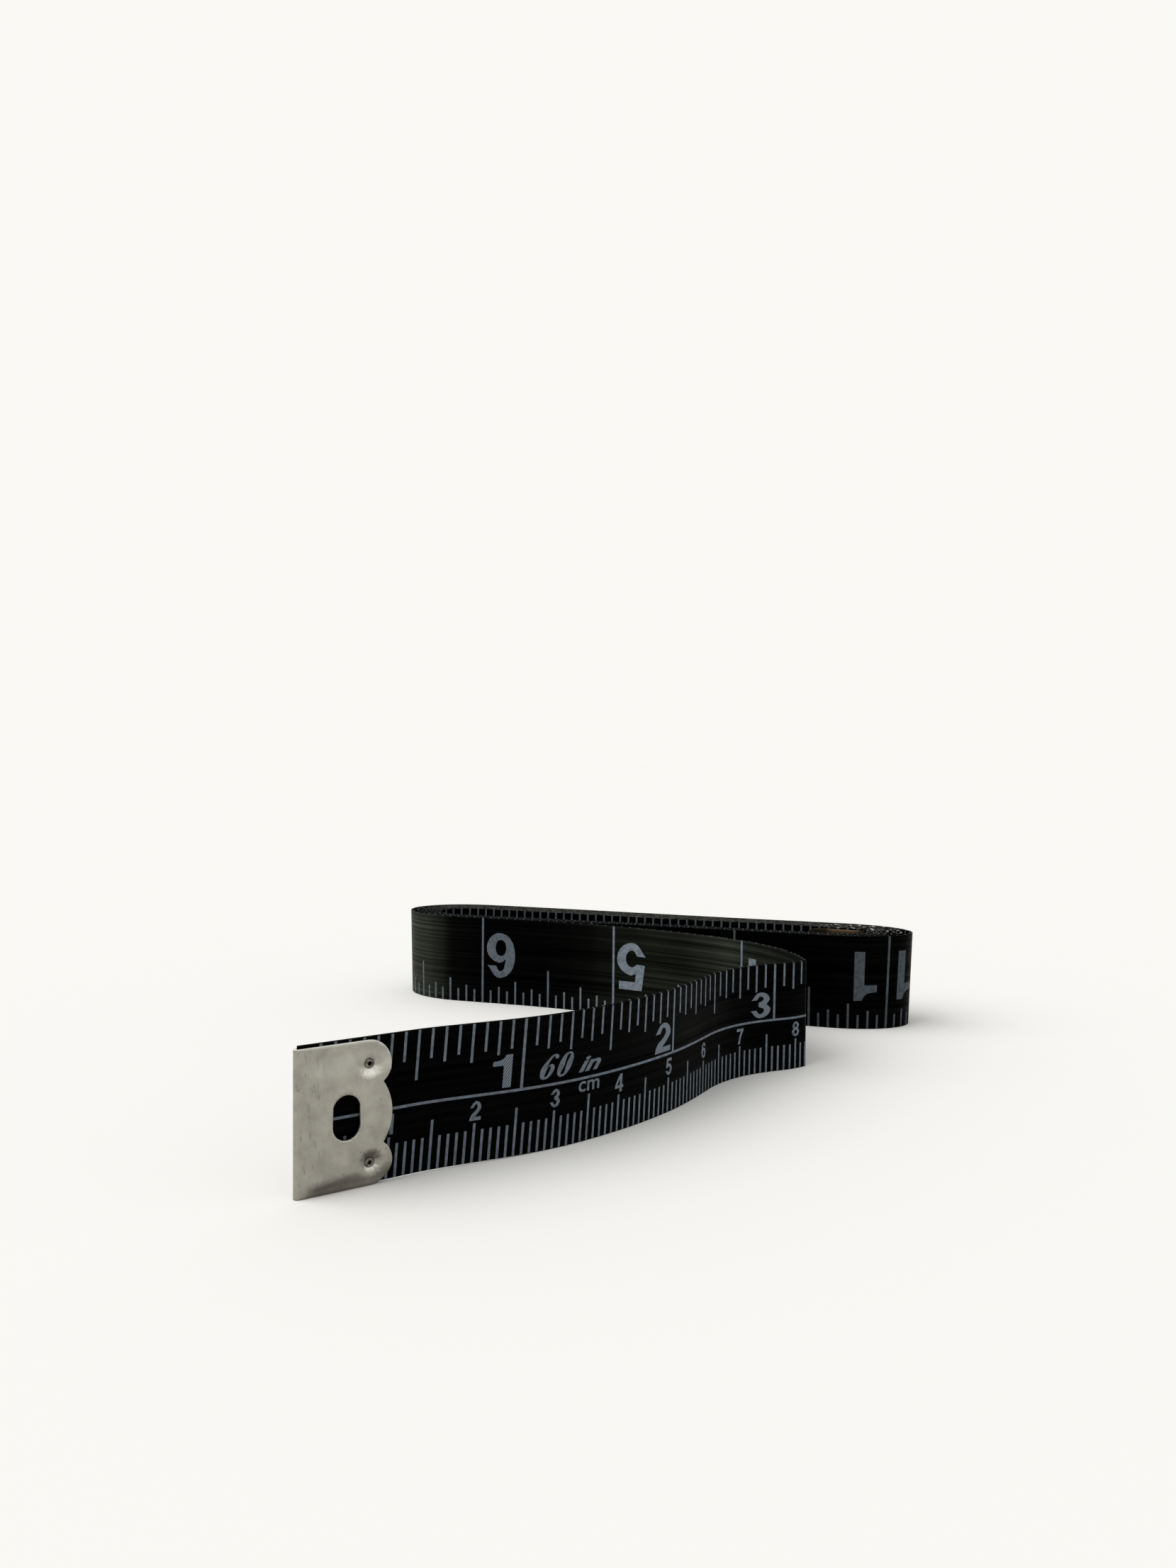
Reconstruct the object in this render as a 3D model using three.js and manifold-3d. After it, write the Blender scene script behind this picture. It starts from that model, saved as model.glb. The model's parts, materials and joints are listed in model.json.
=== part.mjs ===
// Soft tape measure: a plastic-coated fibre tape, wound flat and standing on its edge. Its free end is
// drawn out in front of the hank and creased once, and a folded metal tip is riveted over each end.
// Millimetres, +Z up. The tape stands on z = 0 and the origin is the middle of its footprint.
import * as THREE from 'three';
import { mergeVertices } from 'three/addons/utils/BufferGeometryUtils.js';
import Module from 'manifold-3d';

// Tape
const tapeLength = 1524;          // 60 in between the outer faces of the two tips
const tapeWidth = 15.4;
const tapeThickness = 0.32;

// Winding: long turns, each lying inside the one before, round a narrow hollow
const turnCount = 7.49;           // turns in the hank, which set how deep it is
const turnGap = 0.43;             // clear space between neighbouring turns
const hollowWidth = 4.3;          // hollow at the waist, if the turns closed on themselves
const waistDraw = 0.5;            // how far the long sides are drawn in at the waist
const waistPlace = 8;             // along the hank, right of its middle
const waistReach = 38;            // half the length over which the sides are drawn in
const lobeTaper = 0.4;            // the left lobe is deeper than the right one by four times this
const endStretch = 1.5;           // how far an end bend reaches along the hank, in bend radii
const leftEndStep = 1.01;         // from one turn's left end to the next one's
const rightEndStep = 1.02;        // from one turn's right end to the next one's
const leavePhase = 0.972;         // where on its outer turn the tape leaves, as a share of the turn
const tailStandOff = 4;           // degrees by which the tail turns away from the turn outside it
const tailLength = 16.9;          // straight tape at the end of the winding, part of it inside the rear tip
const tailClear = 1.15;           // between the rear tip's fold and the bend of the turn around it
const bendSteps = 14;
const sideSteps = 6;

// Free end
const creaseGap = 0.3;            // between the crease's bead and the stretch that swings on it
const joinGap = 0.3;              // between two stretches of tape that meet end to end
const liftReach = 30;             // length over which the tape comes down from a tip to its own edge
const routeStep = 2.4;            // length of tape between sections of the free end

// Metal tips: one folded sheet with a lobed edge, a window and two tubular rivets
const tipLength = 10.45;
const tipSheet = 0.3;
const tipSeat = 0.04;             // clearance between the sheet and the tape's faces
const tipEndGap = 0.12;           // clearance between the fold and the tape's end
const tipOverhang = 0.15;         // how far the tip reaches below the tape's lower edge
const tipShortfall = 0.3;         // how far the tape stands above the tip's upper edge
const lobeRadius = 2.45;          // corner lobes, round their rivets
const notchDepth = 1;             // notches between the lobes
const windowSetback = 5.35;
const windowWidth = 3;
const windowHeight = 4.7;
const rivetRadius = 0.42;
const rivetBore = 0.22;
const rivetHeadRadius = 0.68;
const rivetHeadHeight = 0.16;
const rivetClearance = 0.05;
const rivetSides = 16;

const tapeBlack = new THREE.MeshStandardMaterial({ color: 0x131415, roughness: 0.45, metalness: 0 });
const nickel = new THREE.MeshStandardMaterial({ color: 0xb6b4a8, roughness: 0.38, metalness: 0.9 });
const rivetSteel = new THREE.MeshStandardMaterial({ color: 0x96948a, roughness: 0.35, metalness: 0.9 });

// Free route, in plan, from the point where the tape leaves the hank: the stretch back to the crease
const returnRoute = [
  [58.7, -24.9], [57.3, -21.6], [55.4, -18.2], [53.1, -15.3], [50.4, -12.7], [47.4, -10.5], [44.1, -8.6],
  [40.7, -7], [37.1, -5.6], [29.9, -3.4], [22.5, -1.8], [15, -0.75], [7.5, -0.1], [0, 0],
];
// and the stretch from the front tip to the crease, whose first two points are straight under the tip
const leadRoute = [
  [16.8, -93.9], [23.8, -84.8], [25.4, -82.7], [29.4, -78.4], [32.2, -75.5], [34.8, -72.5], [37.2, -69.3],
  [39.3, -65.9], [41.2, -62.4], [42.9, -58.8], [44.4, -55.1], [45.7, -51.3], [46.7, -47.4], [47.5, -43.5],
  [48.3, -39.6], [49.7, -35.8], [51.8, -32.4], [54.5, -29.5], [57.2, -27], [58.7, -24.9],
];

const turnPitch = tapeThickness + turnGap;
const outerRadius = hollowWidth / 2 + waistDraw + turnPitch * turnCount + tapeThickness / 2;

const plan = (x, y) => new THREE.Vector2(x, y);
const heading = (from, to) => Math.atan2(to.y - from.y, to.x - from.x);

function pathLength(path) {
  let sum = 0;
  for (let i = 1; i < path.length; i += 1) {
    sum += path[i].distanceTo(path[i - 1]);
  }
  return sum;
}

// How far a long side lies inside a straight one at the place x along the hank
function sideDraw(x, halfLength) {
  const away = Math.min(1, Math.abs(x - waistPlace) / waistReach);
  return waistDraw * Math.cos(away * Math.PI / 2) ** 2 + lobeTaper * x / halfLength;
}

// A point of the winding after a number of turns: left bend, far side, right bend, near side
function windingPoint(turn, halfLength) {
  const radius = outerRadius - turnPitch * turn;
  const reach = endStretch * radius;
  const left = reach + leftEndStep * turn - halfLength;
  const right = halfLength - rightEndStep * turn - reach;
  const quarters = ((turn + leavePhase) % 1) * 4;
  const quarter = Math.floor(quarters);
  const share = quarters - quarter;
  const bend = Math.PI * share;
  const shapes = [
    [left - reach * Math.sin(bend), -Math.cos(bend)],
    [left + (right - left) * share, 1],
    [right + reach * Math.sin(bend), Math.cos(bend)],
    [right + (left - right) * share, -1],
  ];
  const [x, side] = shapes[quarter];
  return plan(x, side * (radius - sideDraw(x, halfLength)));
}

// The turn on its last far side where the winding ends, so that the tail stops short of the bend around it
function lastTurn(halfLength) {
  const roundStart = Math.floor(turnCount + leavePhase) - leavePhase;
  const bendAround = halfLength - rightEndStep * (roundStart - 3 / 8) - tapeThickness / 2;
  const end = bendAround - tailClear - tailLength;
  let before = roundStart + 1 / 4;
  let after = roundStart + 1 / 2;
  while (after - before > 1e-9) {
    const turn = (before + after) / 2;
    if (windingPoint(turn, halfLength).x < end) {
      before = turn;
    } else {
      after = turn;
    }
  }
  return before;
}

// The winding's line in plan, with the straight tail that carries the rear tip
function windingPath(halfLength) {
  const end = lastTurn(halfLength);
  const turns = [0];
  for (let quarter = 0; quarter < 4 * (turnCount + 1); quarter += 1) {
    const steps = quarter % 2 === 0 ? bendSteps : sideSteps;
    for (let i = 0; i < steps; i += 1) {
      turns.push((quarter + i / steps) / 4 - leavePhase);
    }
  }
  turns.push(end);
  const inside = turns.filter((turn) => turn >= 0 && turn <= end);
  const path = inside.map((turn) => windingPoint(turn, halfLength));
  const last = path[path.length - 1];
  const before = path[path.length - 2];
  const away = heading(before, last) - THREE.MathUtils.degToRad(tailStandOff);
  path.push(plan(last.x + tailLength * Math.cos(away), last.y + tailLength * Math.sin(away)));
  return path;
}

// Evenly spaced points on a smooth line through a route
function smoothPath(route, origin) {
  const knots = route.map(([x, y]) => new THREE.Vector3(origin.x + x, origin.y + y, 0));
  const curve = new THREE.CatmullRomCurve3(knots);
  const count = Math.ceil(curve.getLength() / routeStep);
  return curve.getSpacedPoints(count).map((point) => plan(point.x, point.y));
}

// Moves the start of a path along itself, dropping the points that it passes
function trimStart(path, distance) {
  let left = distance;
  let first = 0;
  while (path[first].distanceTo(path[first + 1]) <= left) {
    left -= path[first].distanceTo(path[first + 1]);
    first += 1;
  }
  const start = path[first].clone().lerp(path[first + 1], left / path[first].distanceTo(path[first + 1]));
  return [start, ...path.slice(first + 1)];
}

const trimEnd = (path, distance) => trimStart(path.slice().reverse(), distance).reverse();

// Height of the tape's lower edge at a distance from a tip's fold
function tipLift(distance) {
  const share = THREE.MathUtils.clamp((distance - tipLength) / liftReach, 0, 1);
  return tipOverhang * (1 + Math.cos(Math.PI * share)) / 2;
}

// A strip of tape on its edge along a path in plan, with its lower edge lifted by its distance from the start
function ribbon(path, liftAt) {
  const positions = [];
  const faces = [];
  let distance = 0;
  path.forEach((point, i) => {
    const from = path[Math.max(0, i - 1)];
    const to = path[Math.min(path.length - 1, i + 1)];
    const along = to.clone().sub(from).normalize();
    const side = plan(-along.y, along.x).multiplyScalar(tapeThickness / 2);
    distance += i > 0 ? point.distanceTo(from) : 0;
    const low = liftAt(distance);
    positions.push(point.x + side.x, point.y + side.y, low);
    positions.push(point.x - side.x, point.y - side.y, low);
    positions.push(point.x - side.x, point.y - side.y, low + tapeWidth);
    positions.push(point.x + side.x, point.y + side.y, low + tapeWidth);
  });
  for (let i = 0; i < path.length - 1; i += 1) {
    for (let k = 0; k < 4; k += 1) {
      const a = 4 * i + k;
      const b = 4 * i + (k + 1) % 4;
      faces.push(a, b + 4, b, a, a + 4, b + 4);
    }
  }
  const end = 4 * (path.length - 1);
  faces.push(0, 1, 2, 0, 2, 3);
  faces.push(end, end + 2, end + 1, end, end + 3, end + 2);
  const geometry = new THREE.BufferGeometry();
  geometry.setAttribute('position', new THREE.Float32BufferAttribute(positions, 3));
  geometry.setIndex(faces);
  return geometry;
}

const wasm = await Module();
wasm.setup();

function toSolid(geometry) {
  const bare = geometry.clone();
  bare.deleteAttribute('normal');
  bare.deleteAttribute('uv');
  const merged = mergeVertices(bare);
  const vertProperties = new Float32Array(merged.attributes.position.array);
  const triVerts = new Uint32Array(merged.index.array);
  return new wasm.Manifold(new wasm.Mesh({ numProp: 3, vertProperties, triVerts }));
}

function toGeometry(solid) {
  const mesh = solid.getMesh();
  const geometry = new THREE.BufferGeometry();
  geometry.setAttribute('position', new THREE.Float32BufferAttribute(mesh.vertProperties, 3));
  geometry.setIndex(Array.from(mesh.triVerts));
  geometry.computeVertexNormals();
  return geometry;
}

// The tip in its own axes: X along the tape from the fold, Y across its thickness, Z up from its lower edge
const tipHeight = tapeWidth + tipOverhang - tipShortfall;
const sheetInner = tapeThickness / 2 + tipSeat;
const sheetOuter = sheetInner + tipSheet;
const rivetSetback = tipLength - lobeRadius;
const rivetHeights = { lower: lobeRadius, upper: tipHeight - lobeRadius };

// A prism across the thickness from an outline in X and Z
function crossPrism(shape, depth) {
  const geometry = new THREE.ExtrudeGeometry(shape, { depth, bevelEnabled: false, curveSegments: 12 });
  return geometry.rotateX(Math.PI / 2).translate(0, depth / 2, 0);
}

function rivetHole(height) {
  const hole = new THREE.CylinderGeometry(rivetRadius + rivetClearance, rivetRadius + rivetClearance,
    4 * sheetOuter, rivetSides);
  return hole.translate(rivetSetback, 0, height);
}

// Outline of the sheet laid on the tape: two corner lobes and a wide middle lobe, with a window
function tipOutline() {
  const notchX = tipLength - notchDepth;
  const notchAngle = Math.acos((notchX - rivetSetback) / lobeRadius);
  const notchRise = lobeRadius * Math.sin(notchAngle);
  const halfMiddle = tipHeight / 2 - lobeRadius - notchRise;
  const middleRadius = (halfMiddle ** 2 + notchDepth ** 2) / (2 * notchDepth);
  const middleAngle = Math.asin(halfMiddle / middleRadius);
  const outline = new THREE.Shape();
  outline.moveTo(-sheetOuter, 0);
  outline.lineTo(rivetSetback, 0);
  outline.absarc(rivetSetback, rivetHeights.lower, lobeRadius, -Math.PI / 2, notchAngle, false);
  outline.absarc(tipLength - middleRadius, tipHeight / 2, middleRadius, -middleAngle, middleAngle, false);
  outline.absarc(rivetSetback, rivetHeights.upper, lobeRadius, -notchAngle, Math.PI / 2, false);
  outline.lineTo(-sheetOuter, tipHeight);
  outline.closePath();
  const window = new THREE.Path();
  const halfStraight = (windowHeight - windowWidth) / 2;
  window.absarc(windowSetback, tipHeight / 2 + halfStraight, windowWidth / 2, 0, Math.PI, false);
  window.absarc(windowSetback, tipHeight / 2 - halfStraight, windowWidth / 2, Math.PI, 2 * Math.PI, false);
  window.closePath();
  outline.holes.push(window);
  return outline;
}

// The sheet folded round the tape's end, then cut to its outline
function tipGeometry() {
  const fold = new THREE.Shape();
  fold.moveTo(tipLength, sheetOuter);
  fold.lineTo(sheetOuter, sheetOuter);
  fold.absarc(sheetOuter, 0, sheetOuter, Math.PI / 2, 3 * Math.PI / 2, false);
  fold.lineTo(tipLength, -sheetOuter);
  fold.lineTo(tipLength, -sheetInner);
  fold.absarc(sheetOuter, 0, sheetInner, 3 * Math.PI / 2, Math.PI / 2, true);
  fold.lineTo(tipLength, sheetInner);
  fold.closePath();
  const folded = new THREE.ExtrudeGeometry(fold, { depth: tipHeight, bevelEnabled: false, curveSegments: 8 });
  let solid = toSolid(folded).intersect(toSolid(crossPrism(tipOutline(), 4 * sheetOuter)));
  for (const height of Object.values(rivetHeights)) {
    solid = solid.subtract(toSolid(rivetHole(height)));
  }
  return toGeometry(solid);
}

// A tubular rivet with a rolled head on each face of the tip
function rivetGeometry() {
  const seat = sheetOuter + tipSeat;
  const top = seat + rivetHeadHeight;
  const crown = (rivetBore + rivetHeadRadius) / 2;
  const half = [[rivetRadius, seat], [rivetHeadRadius, seat], [rivetHeadRadius, seat + rivetHeadHeight / 2],
    [crown, top], [rivetBore, seat + rivetHeadHeight / 2]];
  const lower = half.map(([radius, y]) => [radius, -y]).reverse();
  const profile = [...lower, ...half, lower[0]].map(([radius, y]) => plan(radius, y));
  return new THREE.LatheGeometry(profile, rivetSides);
}

// Lengths: the free end is as drawn, and the hank's length takes up the rest of the tape
const freeLength = pathLength(smoothPath(leadRoute, plan(0, 0))) + pathLength(smoothPath(returnRoute, plan(0, 0)));
const windingLength = tapeLength - freeLength;
let shortest = endStretch * outerRadius + leftEndStep * turnCount;
let longest = tapeLength;
while (longest - shortest > 1e-6) {
  const middle = (shortest + longest) / 2;
  if (pathLength(windingPath(middle)) > windingLength) {
    longest = middle;
  } else {
    shortest = middle;
  }
}
const hankHalf = (shortest + longest) / 2;
const winding = windingPath(hankHalf);
const leave = winding[0];
const lead = smoothPath(leadRoute, leave);
const back = smoothPath(returnRoute, leave);
const crease = back[0];

// Least clear gap between points of the winding that lie at least half a turn apart
function leastGap(path) {
  const halfTurn = 2 * hankHalf - 4 * outerRadius;
  const stations = path.map((point, i) => pathLength(path.slice(0, i + 1)));
  let least = Infinity;
  const foot = new THREE.Vector3();
  for (let i = 0; i < path.length; i += 1) {
    for (let j = 0; j < path.length - 1; j += 1) {
      if (Math.min(Math.abs(stations[i] - stations[j]), Math.abs(stations[i] - stations[j + 1])) > halfTurn) {
        const from = new THREE.Vector3(path[j].x, path[j].y, 0);
        const to = new THREE.Vector3(path[j + 1].x, path[j + 1].y, 0);
        const point = new THREE.Vector3(path[i].x, path[i].y, 0);
        new THREE.Line3(from, to).closestPointToPoint(point, true, foot);
        least = Math.min(least, foot.distanceTo(point) - tapeThickness);
      }
    }
  }
  return least;
}

// A tip with its rivets, placed with its fold at one end of a path
function addTip(group, name, fold, along) {
  const place = new THREE.Group();
  place.position.set(fold.x, fold.y, 0);
  place.rotation.z = heading(fold, along);
  const tip = new THREE.Mesh(tipGeometry(), nickel);
  tip.name = `tip_${name}`;
  place.add(tip);
  for (const [side, height] of Object.entries(rivetHeights)) {
    const rivet = new THREE.Mesh(rivetGeometry(), rivetSteel);
    rivet.name = `rivet_${name}_${side}`;
    rivet.position.set(rivetSetback, 0, height);
    place.add(rivet);
  }
  place.updateMatrixWorld();
  group.add(place);
  return place.matrix.clone();
}

function addTape(group, name, geometry) {
  const mesh = new THREE.Mesh(geometry, tapeBlack);
  mesh.name = name;
  group.add(mesh);
}

// The tape with its two rivet holes punched through
function punched(strip, tipMatrix) {
  let solid = toSolid(strip);
  for (const height of Object.values(rivetHeights)) {
    solid = solid.subtract(toSolid(rivetHole(height).applyMatrix4(tipMatrix)));
  }
  return toGeometry(solid);
}

const object = new THREE.Group();
const tapeEnd = tipSheet + tipEndGap;

const frontTip = addTip(object, 'front', lead[0], lead[1]);
const leadPath = trimEnd(trimStart(lead, tapeEnd), tapeThickness + creaseGap);
addTape(object, 'tape_lead', punched(ribbon(leadPath, (s) => tipLift(s + tapeEnd)), frontTip));

// The crease is a round bead as thick as the tape folded on itself, and the lead swings about its axis
const bead = new THREE.CylinderGeometry(tapeThickness, tapeThickness, tapeWidth, rivetSides);
bead.rotateX(Math.PI / 2).translate(crease.x, crease.y, tapeWidth / 2);
const backStrip = ribbon(trimEnd(back, joinGap), () => 0);
addTape(object, 'tape_return', toGeometry(toSolid(backStrip).add(toSolid(bead))));

const tail = winding[winding.length - 1];
const rearTip = addTip(object, 'rear', tail, winding[winding.length - 2]);
const hankPath = trimEnd(winding, tapeEnd);
const hankLength = pathLength(hankPath);
const hankStrip = ribbon(hankPath, (s) => tipLift(hankLength - s + tapeEnd));
addTape(object, 'tape_hank', punched(hankStrip, rearTip));

// The origin goes to the middle of the footprint
const bounds = new THREE.Box3().setFromObject(object, true);
const middle = bounds.getCenter(new THREE.Vector3());
object.position.set(-middle.x, -middle.y, 0);
object.updateMatrixWorld();

const round = (value) => value.toFixed(3);
console.log(`hank ${round(2 * hankHalf + tapeThickness)} long, ${round(2 * outerRadius)} deep between end bends`);
console.log(`least gap between turns ${round(leastGap(winding))}`);
console.log(`crease axis at ${round(crease.x - middle.x)}, ${round(crease.y - middle.y)}`);
console.log(`tape leaves the hank at ${round(leave.x - middle.x)}, ${round(leave.y - middle.y)}`);
console.log(`footprint ${round(bounds.max.x - bounds.min.x)} by ${round(bounds.max.y - bounds.min.y)}`);

export default object;
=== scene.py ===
import bisect
import json
import math
import bmesh
import bpy
from mathutils import Matrix, Vector, geometry


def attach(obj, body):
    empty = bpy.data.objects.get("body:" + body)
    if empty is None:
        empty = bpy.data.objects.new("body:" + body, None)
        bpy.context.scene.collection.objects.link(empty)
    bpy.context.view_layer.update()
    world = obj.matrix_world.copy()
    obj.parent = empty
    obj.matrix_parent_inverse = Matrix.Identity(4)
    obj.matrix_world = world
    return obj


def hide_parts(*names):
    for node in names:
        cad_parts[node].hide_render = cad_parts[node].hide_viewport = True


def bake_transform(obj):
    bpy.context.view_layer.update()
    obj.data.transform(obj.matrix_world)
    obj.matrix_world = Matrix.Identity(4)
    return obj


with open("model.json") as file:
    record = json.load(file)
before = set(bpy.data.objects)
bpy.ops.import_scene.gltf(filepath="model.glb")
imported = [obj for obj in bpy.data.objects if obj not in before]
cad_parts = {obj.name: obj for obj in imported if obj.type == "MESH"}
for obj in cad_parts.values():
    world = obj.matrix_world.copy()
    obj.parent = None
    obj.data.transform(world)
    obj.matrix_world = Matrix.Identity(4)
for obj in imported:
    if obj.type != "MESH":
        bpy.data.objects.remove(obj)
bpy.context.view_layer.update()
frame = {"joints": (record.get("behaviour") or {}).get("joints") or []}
scene = bpy.context.scene
inch = 25.4
weld = 1e-5              # points nearer than this are one
crease = Vector(frame["joints"][0]["pos_m"][:2]) * 1000
print("frame loaded")


# Lengths below are millimetres; a finished mesh is scaled to metres once

def linearColour(hexValue):
    parts = [int(hexValue[i:i + 2], 16) / 255 for i in (1, 3, 5)]
    return [p / 12.92 if p <= 0.04045 else ((p + 0.055) / 1.055) ** 2.4 for p in parts] + [1]


def addNode(tree, kind, links=None, values=None, **settings):
    node = tree.nodes.new(kind)
    for name, value in settings.items():
        setattr(node, name, value)
    for socket, value in (values or {}).items():
        node.inputs[socket].default_value = value
    for socket, source in (links or {}).items():
        tree.links.new(source, node.inputs[socket])
    return node


def addRamp(tree, fac, *stops):
    ramp = addNode(tree, "ShaderNodeValToRGB", {"Fac": fac})
    for element, (place, hexValue) in zip(ramp.color_ramp.elements, stops):
        element.position = place
        element.color = linearColour(hexValue)
    return ramp.outputs["Color"]


def addRange(tree, value, fromSpan, toSpan=(0, 1), **settings):
    spans = dict(zip(("From Min", "From Max", "To Min", "To Max"), (*fromSpan, *toSpan)))
    return addNode(tree, "ShaderNodeMapRange", {"Value": value}, spans, **settings).outputs["Result"]


def addTone(tree, share, tone, hexValue):
    mix = addNode(tree, "ShaderNodeMix", {0: share, 6: tone}, {7: linearColour(hexValue)}, data_type="RGBA")
    return mix.outputs[2]


def onlyVerts(parts):
    return [v for v in parts if isinstance(v, bmesh.types.BMVert)]


def allParts(bm):
    return bm.verts[:] + bm.edges[:] + bm.faces[:]


def startMaterial(name):
    material = bpy.data.materials.new(name)
    material.use_nodes = True
    return material, material.node_tree, material.node_tree.nodes["Principled BSDF"]


def finishPiece(name, bm, *materials, sharp=30):
    bmesh.ops.scale(bm, vec=(0.001, 0.001, 0.001), verts=bm.verts)
    mesh = bpy.data.meshes.new(name)
    bm.to_mesh(mesh)
    bm.free()
    for material in materials:
        mesh.materials.append(material)
    piece = bpy.data.objects.new(name, mesh)
    scene.collection.objects.link(piece)
    mesh.shade_smooth()
    mesh.set_sharp_from_angle(angle=math.radians(sharp))
    return piece


def ease(share):
    share = min(1, max(0, share))
    return share * share * (3 - 2 * share)


def spanShare(x, span):
    return ease((x - span[0]) / (span[1] - span[0]))


cameraSet = {
    "fromCrease": (22.37, -171.62, 44.93),
    "turn": 18,          # degrees left of +Y
    "down": 1.396,
    "roll": 0.349,
    "lens": 36.05,
    "sensor": 36,
    "nearest": 0.01,     # metres
}

cameraData = bpy.data.cameras.new("camera")
cameraData.sensor_width = cameraSet["sensor"]
cameraData.sensor_fit = "HORIZONTAL"
cameraData.lens = cameraSet["lens"]
cameraData.clip_start = cameraSet["nearest"]
camera = bpy.data.objects.new("camera", cameraData)
scene.collection.objects.link(camera)
facing = Matrix.Rotation(math.radians(cameraSet["turn"]), 4, "Z")
tilted = Matrix.Rotation(math.radians(90 - cameraSet["down"]), 4, "X")
rolled = Matrix.Rotation(math.radians(cameraSet["roll"]), 4, "Z")
place = Vector((crease.x, crease.y, 0)) + Vector(cameraSet["fromCrease"])
camera.matrix_world = Matrix.Translation(place * 0.001) @ facing @ tilted @ rolled
scene.camera = camera
print("camera set")


tapeSet = {
    "length": 1524,
    "inches": 60,
    "width": 15.4,
    "thickness": 0.32,
    "edgeRound": 0.07,
    "edgeSteps": 2,
    "edgeFacing": 0.3,      # faces that look up or down by more than this are slit edge
    "endFacing": 0.5,       # and so are those that look along the tape by more than this
    "sharp": 18,
    "tipGap": 0.42,         # from a tip's fold to the end of the tape inside it
    "tipLength": 10.45,
    "tipOverhang": 0.15,    # the tape rides this much higher inside a tip
    "liftReach": 30,
    "routeStep": 0.8,
    "margin": 0.1,          # sections keep this far from the ends and from the rounded crease
}
creaseSet = {
    "trim": 0.4,            # length of tape on each side that the crease rounds
    "pull": 0.6,            # how far its handles reach towards the corner
    "points": 9,
    "cutReach": 1.5,        # the ink is cut at each section of the tape this near the crease,
    "inkReach": 4,          # in those of its faces that lie this near
    "blendFrom": (0, -0.0003),      # metres from the crease: one body's motion passes into the other's
    "blendTo": (-0.0002, 0.0009),
}
# Painted sheen on the bends where light grazes the tape: places along it, and how much painted grey sheen
# lies on the black skin there
sheenKnots = [
    (82, 0), (84, 0.2), (92, 0.3), (97, 0.38), (100, 0.48), (104, 1), (109, 0.65), (114, 0.4), (119, 0.44),
    (125, 0.28), (129, 0.18), (132.5, 0.07), (137, 0.02), (142, 0), (155, 0), (158.5, 0.05), (161.5, 0.5),
    (164, 0.9), (168, 1), (174, 1), (184, 0.8), (205, 0),
]
# Painted light and shade on the print: how much brighter or darker the ink is painted along the tape,
# brighter where the print faces the light from the left
inkLightKnots = [
    (0, 1.15), (30, 1.15), (47, 1.45), (73, 1.35), (84, 1.25), (122, 1.55), (146, 0.92), (172, 1),
    (262, 0.6), (282, 0.6), (330, 0.8),
]
windSet = {
    "halfLength": 46.371,
    "turns": 7.49,
    "outerRadius": 8.4275,
    "farPitch": 0.75,       # the far side lies loose
    "nearPitch": 0.36,      # and the near side is pressed together
    "waistDraw": 0.5,
    "waistPlace": 8,
    "waistReach": 38,
    "lobeTaper": 0.4,
    "leavePhase": 0.972,
    "endStretch": 1.5,      # an end bend reaches further along than across
    "farDraw": 0.5,         # the far side is drawn in further towards the right end
    "farSpan": (-10, 30),
    "rightLean": 0.55,      # the hank's ends lean out at the top
    "rightSpan": (32, 45),
    "leftLean": 0.35,
    "leftSpan": (-30, -42),
    "leftInset": 0.355,
    "leftFirst": 0.153,     # turn at the outermost left end, and the number of turns inside it
    "leftCount": 7,
    "rightInset": 0.916,
    "rightFirst": 0.653,
    "rightCount": 6,
    "rightDepth": 6.3,      # how far in the innermost right end lies
    "leftDeepest": 30,      # the innermost left end lies less far in than this
    "lengthFit": 1e-5,
    "gather": 0.75,         # inner ends lie closer than outer ones
    "tailStart": 21.375,
    "tailClear": 1,         # the last point of the winding lies at least this far before the tail
    "tailLength": 16.9,
    "tailStandOff": 4,
    "bendSteps": 40,
    "sideSteps": 14,
}
returnKnots = [
    (58.7, -24.9), (57.3, -21.6), (55.4, -18.2), (53.1, -15.3), (50.4, -12.7), (47.4, -10.5), (44.1, -8.6),
    (40.7, -7), (37.1, -5.6), (29.9, -3.4), (22.5, -1.8), (15, -0.75), (7.5, -0.1), (0, 0),
]
leadKnots = [
    (16.8, -93.9), (23.8, -84.8), (25.4, -82.7), (29.4, -78.4), (32.2, -75.5), (34.8, -72.5), (37.2, -69.3),
    (39.3, -65.9), (41.2, -62.4), (42.9, -58.8), (44.4, -55.1), (45.7, -51.3), (46.7, -47.4), (47.5, -43.5),
    (48.3, -39.6), (49.7, -35.8), (51.8, -32.4), (54.5, -29.5), (57.2, -27), (58.7, -24.9),
]
leavePoint = crease - Vector(returnKnots[0])


def smoothRoute(knots):
    knots = [Vector(k) + leavePoint for k in knots]
    spans = [(b - a).length for a, b in zip(knots, knots[1:])]
    ways = [(b - a).normalized() for a, b in zip(knots, knots[1:])]
    heads = [ways[0]]
    for i in range(1, len(ways)):
        heads.append((ways[i - 1] * spans[i] + ways[i] * spans[i - 1]).normalized())
    heads.append(ways[-1])
    line = []
    for i, span in enumerate(spans):
        reach = span / 3
        count = max(3, math.ceil(span / tapeSet["routeStep"]) + 1)
        start, end = knots[i], knots[i + 1]
        line += geometry.interpolate_bezier(
            start, start + heads[i] * reach, end - heads[i + 1] * reach, end, count)[:-1]
    return line + [knots[-1]]


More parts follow.
